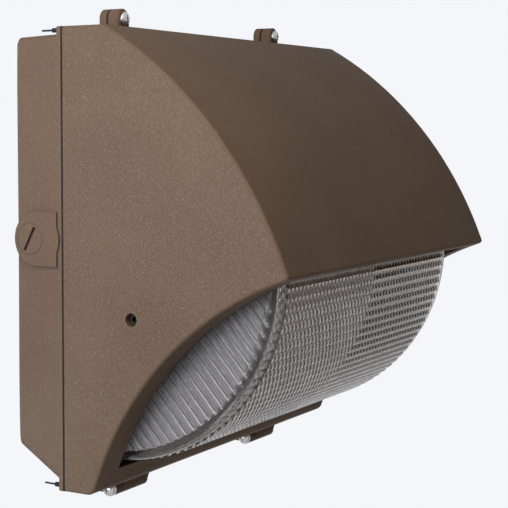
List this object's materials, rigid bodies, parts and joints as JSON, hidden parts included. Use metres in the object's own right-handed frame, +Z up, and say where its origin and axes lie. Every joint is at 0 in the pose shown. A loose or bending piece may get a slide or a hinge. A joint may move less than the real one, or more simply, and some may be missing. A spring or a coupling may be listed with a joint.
{
  "type": "wall pack light",
  "caption": "Cast metal wall pack light with a hooded, hinged door, a prismatic glass refractor, and a screw base lamp with its control gear inside a shallow wall box.",
  "frame": {"origin": "On the wall plane, at the centre of the four wall bolt holes.", "axes": "+Y points into the wall, +Z is up, +X is right for someone who looks at the light from the front."},
  "size_m": [0.415, 0.2601, 0.4173],
  "materials": {
    "bronze_cast": "dark bronze powder coat, fine texture",
    "dark_gasket": "black silicone",
    "pressed_glass": "clear pressed prismatic glass",
    "clear_glass": "clear blown glass",
    "frosted_quartz": "fused quartz",
    "zinc_steel": "zinc plated steel",
    "dark_screw": "dark painted screw",
    "varnished_core": "varnished laminations",
    "coil_wrap": "varnished paper wrap",
    "can_aluminium": "drawn can",
    "black_plastic": "moulded",
    "brass_parts": "plain brass",
    "green_screw": "green earth screw",
    "bright_reflector": "bright anodised sheet",
    "white_porcelain": "glazed porcelain",
    "white_sleeve": "woven glass sleeve",
    "dark_wire": "nickel wire"
  },
  "bodies": {
    "housing": {"rear_housing": "bronze_cast", "door_gasket": "dark_gasket", "gear_tray": "zinc_steel", "tray_screws": "zinc_steel", "ballast_core": "varnished_core", "ballast_coils": "coil_wrap", "ballast_bolts": "zinc_steel", "capacitor": "can_aluminium", "capacitor_strap": "zinc_steel", "strap_screws": "zinc_steel", "ignitor": "can_aluminium", "ignitor_nut": "zinc_steel", "terminal_block": "black_plastic", "terminal_screws": "brass_parts", "ground_screw": "green_screw", "reflector": "bright_reflector", "reflector_screws": "zinc_steel", "socket_bracket": "zinc_steel", "socket_screws": "zinc_steel", "lamp_socket": "white_porcelain", "socket_shell": "brass_parts", "lamp_leads": "white_sleeve"},
    "door": {"door": "bronze_cast", "glass_refractor": "pressed_glass", "glass_gasket": "dark_gasket", "glass_clips": "zinc_steel", "clip_screws": "zinc_steel", "side_screws": "dark_screw", "hinge_screws": "zinc_steel", "hinge_washers": "zinc_steel"},
    "top_screw_left_ring": {"top_screw_ring_left": "zinc_steel"},
    "top_screw_left": {"top_screw_left": "zinc_steel"},
    "top_screw_right_ring": {"top_screw_ring_right": "zinc_steel"},
    "top_screw_right": {"top_screw_right": "zinc_steel"},
    "plug_left": {"conduit_plug_left": "bronze_cast"},
    "plug_right": {"conduit_plug_right": "bronze_cast"},
    "lamp": {"lamp_envelope": "clear_glass", "lamp_base": "brass_parts", "arc_tube": "frosted_quartz", "arc_tube_frame": "dark_wire"}
  },
  "joints": [
    {"name": "door_swing", "type": "hinge", "parent": "housing", "child": "door", "pos_m": [0, -0.0585, -0.2005], "axis": [1, 0, 0], "range_deg": [0, 110]},
    {"name": "top_screw_left_out", "type": "slide", "parent": "door", "child": "top_screw_left_ring", "axis": [0, -1, 0], "range_m": [0, 0.0055]},
    {"name": "top_screw_left_turn", "type": "hinge", "parent": "top_screw_left_ring", "child": "top_screw_left", "pos_m": [-0.1325, -0.0614, 0.2022], "axis": [0, -1, 0], "range_deg": [0, 1560]},
    {"name": "top_screw_right_out", "type": "slide", "parent": "door", "child": "top_screw_right_ring", "axis": [0, -1, 0], "range_m": [0, 0.0055]},
    {"name": "top_screw_right_turn", "type": "hinge", "parent": "top_screw_right_ring", "child": "top_screw_right", "pos_m": [0.1325, -0.0614, 0.2022], "axis": [0, -1, 0], "range_deg": [0, 1560]},
    {"name": "conduit_plug_left_out", "type": "slide", "parent": "housing", "child": "plug_left", "axis": [-1, 0, 0], "range_m": [0, 0.016]},
    {"name": "conduit_plug_right_out", "type": "slide", "parent": "housing", "child": "plug_right", "axis": [1, 0, 0], "range_m": [0, 0.016]},
    {"name": "lamp_out", "type": "slide", "parent": "housing", "child": "lamp", "axis": [1, 0, 0], "range_m": [0, 0.044]}
  ],
  "couplings": [
    {"joint": "top_screw_left_turn", "follows": "top_screw_left_out", "rad_per_m": 4947.4},
    {"joint": "top_screw_right_turn", "follows": "top_screw_right_out", "rad_per_m": 4947.4}
  ]
}
